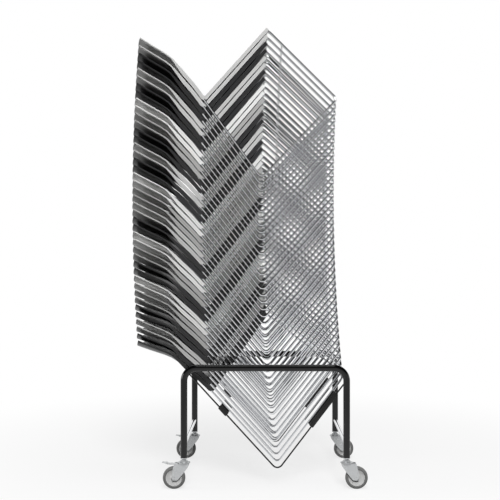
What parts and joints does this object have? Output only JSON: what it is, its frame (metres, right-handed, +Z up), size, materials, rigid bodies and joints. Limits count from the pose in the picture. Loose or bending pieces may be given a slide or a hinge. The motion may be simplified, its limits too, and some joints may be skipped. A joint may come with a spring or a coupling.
{
  "type": "stack of nesting chairs on a trolley",
  "caption": "Tall stack of nested sled-base chairs, with one-piece shells on bright rod frames, tilted back on a wheeled tube trolley.",
  "frame": {"origin": "on the floor under the middle of the trolley", "axes": "+Z up, +X toward the seats' front edges, +Y away from the viewer across the chairs' width"},
  "size_m": [1.0633, 0.6134, 2.0564],
  "materials": {
    "light_grey_shell": "satin moulded plastic",
    "mid_grey_shell": "satin moulded plastic",
    "white_shell": "satin moulded plastic",
    "black_shell": "satin moulded plastic",
    "bright_rod": "polished chrome",
    "black_tube": "gloss powder coat",
    "buffer_plastic": "matt",
    "pad_rubber": "matt",
    "zinc_steel": "zinc plated",
    "hub_plastic": "satin",
    "grey_tyre": "matt"
  },
  "bodies": {
    "trolley": {"caster_stems": "zinc_steel", "cradle_pads": "pad_rubber", "cradle_rod_far": "black_tube", "cradle_rod_near": "black_tube", "cross_rail_left": "bright_rod", "cross_rail_right": "bright_rod", "nested_buffers": "buffer_plastic", "nested_cross_rods": "bright_rod", "nested_frames_far": "bright_rod", "nested_frames_near": "bright_rod", "shells_01": "black_shell", "shells_02": "light_grey_shell", "shells_03": "black_shell", "shells_04": "mid_grey_shell", "shells_05": "white_shell", "shells_06": "black_shell", "shells_07": "mid_grey_shell", "shells_08": "white_shell", "shells_09": "black_shell", "shells_10": "light_grey_shell", "shells_11": "mid_grey_shell", "shells_12": "white_shell", "shells_13": "black_shell", "shells_14": "light_grey_shell", "shells_15": "black_shell", "shells_16": "mid_grey_shell", "shells_17": "white_shell", "shells_18": "black_shell", "shells_19": "light_grey_shell", "shells_20": "black_shell", "shells_21": "light_grey_shell", "side_frame_far": "black_tube", "side_frame_near": "black_tube"},
    "top_chair": {"top_buffers": "buffer_plastic", "top_cross_rods": "bright_rod", "top_frame_far": "bright_rod", "top_frame_near": "bright_rod", "top_shell": "light_grey_shell"},
    "caster_near_left": {"fork_near_left": "zinc_steel", "axle_near_left": "zinc_steel"},
    "wheel_near_left": {"hub_near_left": "hub_plastic", "tyre_near_left": "grey_tyre"},
    "caster_near_right": {"fork_near_right": "zinc_steel", "axle_near_right": "zinc_steel"},
    "wheel_near_right": {"hub_near_right": "hub_plastic", "tyre_near_right": "grey_tyre"},
    "caster_far_left": {"fork_far_left": "zinc_steel", "axle_far_left": "zinc_steel"},
    "wheel_far_left": {"hub_far_left": "hub_plastic", "tyre_far_left": "grey_tyre"},
    "caster_far_right": {"fork_far_right": "zinc_steel", "axle_far_right": "zinc_steel"},
    "wheel_far_right": {"hub_far_right": "hub_plastic", "tyre_far_right": "grey_tyre"},
    "brake_near_left": {"pedal_near_left": "zinc_steel"},
    "brake_far_left": {"pedal_far_left": "zinc_steel"}
  },
  "joints": [
    {"name": "top_chair_lift", "type": "slide", "parent": "trolley", "child": "top_chair", "axis": [0, 0, 1], "range_m": [0, 0.7]},
    {"name": "swivel_near_left", "type": "hinge", "parent": "trolley", "child": "caster_near_left", "pos_m": [-0.36, -0.278, 0.12], "axis": [0, 0, 1], "continuous": true},
    {"name": "roll_near_left", "type": "hinge", "parent": "caster_near_left", "child": "wheel_near_left", "pos_m": [-0.4035, -0.278, 0.05], "axis": [0, 1, 0], "continuous": true},
    {"name": "swivel_near_right", "type": "hinge", "parent": "trolley", "child": "caster_near_right", "pos_m": [0.36, -0.278, 0.12], "axis": [0, 0, 1], "continuous": true},
    {"name": "roll_near_right", "type": "hinge", "parent": "caster_near_right", "child": "wheel_near_right", "pos_m": [0.4035, -0.278, 0.05], "axis": [0, 1, 0], "continuous": true},
    {"name": "swivel_far_left", "type": "hinge", "parent": "trolley", "child": "caster_far_left", "pos_m": [-0.36, 0.278, 0.12], "axis": [0, 0, 1], "continuous": true},
    {"name": "roll_far_left", "type": "hinge", "parent": "caster_far_left", "child": "wheel_far_left", "pos_m": [-0.4035, 0.278, 0.05], "axis": [0, 1, 0], "continuous": true},
    {"name": "swivel_far_right", "type": "hinge", "parent": "trolley", "child": "caster_far_right", "pos_m": [0.36, 0.278, 0.12], "axis": [0, 0, 1], "continuous": true},
    {"name": "roll_far_right", "type": "hinge", "parent": "caster_far_right", "child": "wheel_far_right", "pos_m": [0.4035, 0.278, 0.05], "axis": [0, 1, 0], "continuous": true},
    {"name": "brake_near_left", "type": "hinge", "parent": "caster_near_left", "child": "brake_near_left", "pos_m": [-0.387, -0.278, 0.107], "axis": [0, -1, 0], "range_deg": [0, 8]},
    {"name": "brake_far_left", "type": "hinge", "parent": "caster_far_left", "child": "brake_far_left", "pos_m": [-0.387, 0.278, 0.107], "axis": [0, -1, 0], "range_deg": [0, 8]}
  ]
}
